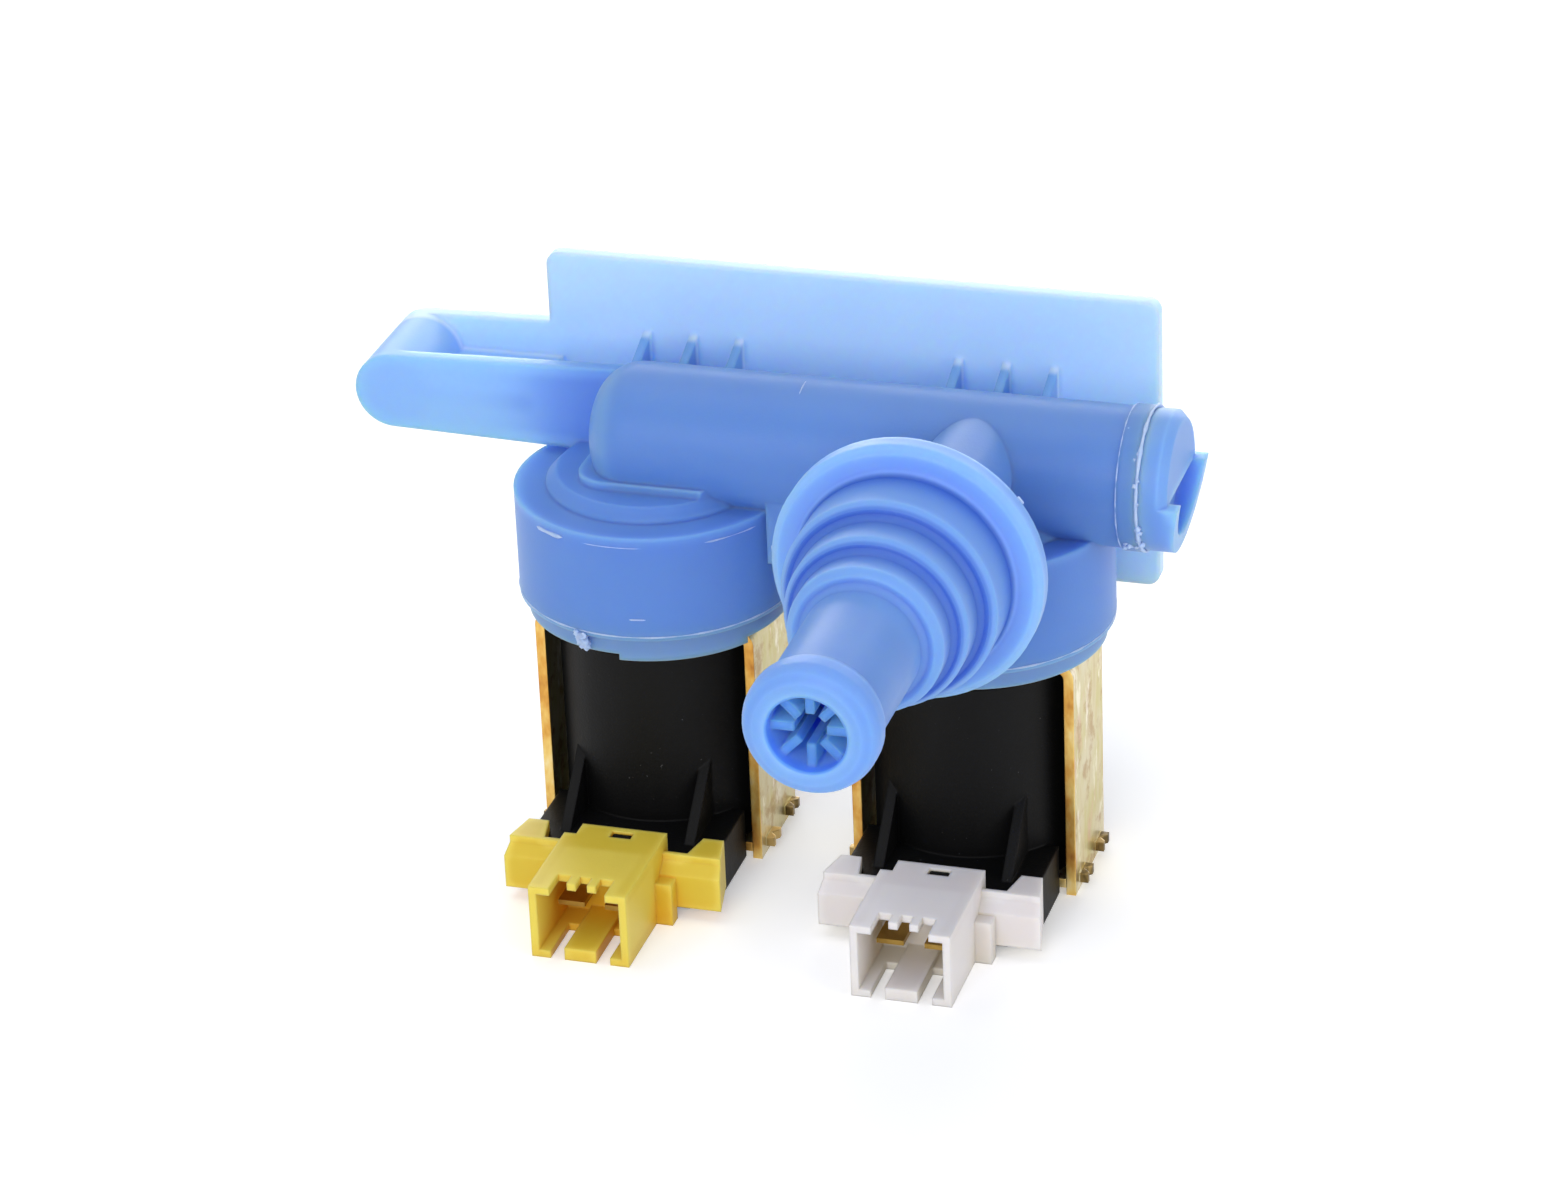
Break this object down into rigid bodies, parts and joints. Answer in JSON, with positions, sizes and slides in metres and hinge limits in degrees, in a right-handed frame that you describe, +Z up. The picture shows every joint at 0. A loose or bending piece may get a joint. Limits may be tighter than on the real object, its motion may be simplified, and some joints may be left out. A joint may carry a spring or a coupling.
{
  "type": "washing machine inlet valve",
  "caption": "Twin solenoid water inlet valve with a blue moulded body, mounting plate and screw arm, stepped outlet nozzle, and coils with plug sockets hanging below.",
  "frame": {"origin": "centre of the mounting plate's rear face, where it meets the cabinet wall", "axes": "+Y out through the cabinet wall along the hose inlets, +Z up away from the coils, +X to the right as seen from the nozzle side"},
  "size_m": [0.1341, 0.1373, 0.0898],
  "materials": {
    "blue_plastic": "translucent light-blue moulding, satin",
    "black_rubber": "matte",
    "insert_plastic": "matte off-white",
    "armature_steel": "plain stainless",
    "plated_steel": "yellow zinc plating with rainbow tints",
    "black_plastic": "satin black moulding",
    "copper_wire": "enamelled copper wire",
    "terminal_brass": "dull brass",
    "yellow_plastic": "satin yellow moulding",
    "white_plastic": "satin white moulding"
  },
  "bodies": {
    "valve": {"valve_body": "blue_plastic", "end_plug": "blue_plastic", "left_bonnet": "blue_plastic", "left_diaphragm": "black_rubber", "left_armature_spring": "armature_steel", "left_yoke_frame": "plated_steel", "left_yoke_base": "plated_steel", "left_coil_moulding": "black_plastic", "left_coil_winding": "copper_wire", "left_terminal_blades": "terminal_brass", "left_flow_washer": "black_rubber", "left_inlet_screen": "insert_plastic", "left_connector_shell": "yellow_plastic", "right_bonnet": "blue_plastic", "right_diaphragm": "black_rubber", "right_armature_spring": "armature_steel", "right_yoke_frame": "plated_steel", "right_yoke_base": "plated_steel", "right_coil_moulding": "black_plastic", "right_coil_winding": "copper_wire", "right_terminal_blades": "terminal_brass", "right_flow_washer": "black_rubber", "right_inlet_screen": "insert_plastic", "right_connector_shell": "white_plastic"},
    "left_armature": {"left_armature": "armature_steel", "left_armature_seal": "black_rubber"},
    "left_diaphragm_core": {"left_diaphragm_insert": "insert_plastic"},
    "right_armature": {"right_armature": "armature_steel", "right_armature_seal": "black_rubber"},
    "right_diaphragm_core": {"right_diaphragm_insert": "insert_plastic"}
  },
  "joints": [
    {"name": "left_armature_slide", "type": "slide", "parent": "valve", "child": "left_armature", "axis": [0, 0, -1], "range_m": [0, 0.0025], "stiffness_N_per_m": 150, "springref_m": -0.006, "deforming": ["left_armature_spring"]},
    {"name": "left_diaphragm_lift", "type": "slide", "parent": "valve", "child": "left_diaphragm_core", "axis": [0, 0, -1], "range_m": [0, 0.002], "deforming": ["left_diaphragm"]},
    {"name": "right_armature_slide", "type": "slide", "parent": "valve", "child": "right_armature", "axis": [0, 0, -1], "range_m": [0, 0.0025], "stiffness_N_per_m": 150, "springref_m": -0.006, "deforming": ["right_armature_spring"]},
    {"name": "right_diaphragm_lift", "type": "slide", "parent": "valve", "child": "right_diaphragm_core", "axis": [0, 0, -1], "range_m": [0, 0.002], "deforming": ["right_diaphragm"]}
  ],
  "couplings": [
    {"joint": "left_diaphragm_lift", "follows": "left_armature_slide", "ratio": 0.8},
    {"joint": "right_diaphragm_lift", "follows": "right_armature_slide", "ratio": 0.8}
  ]
}
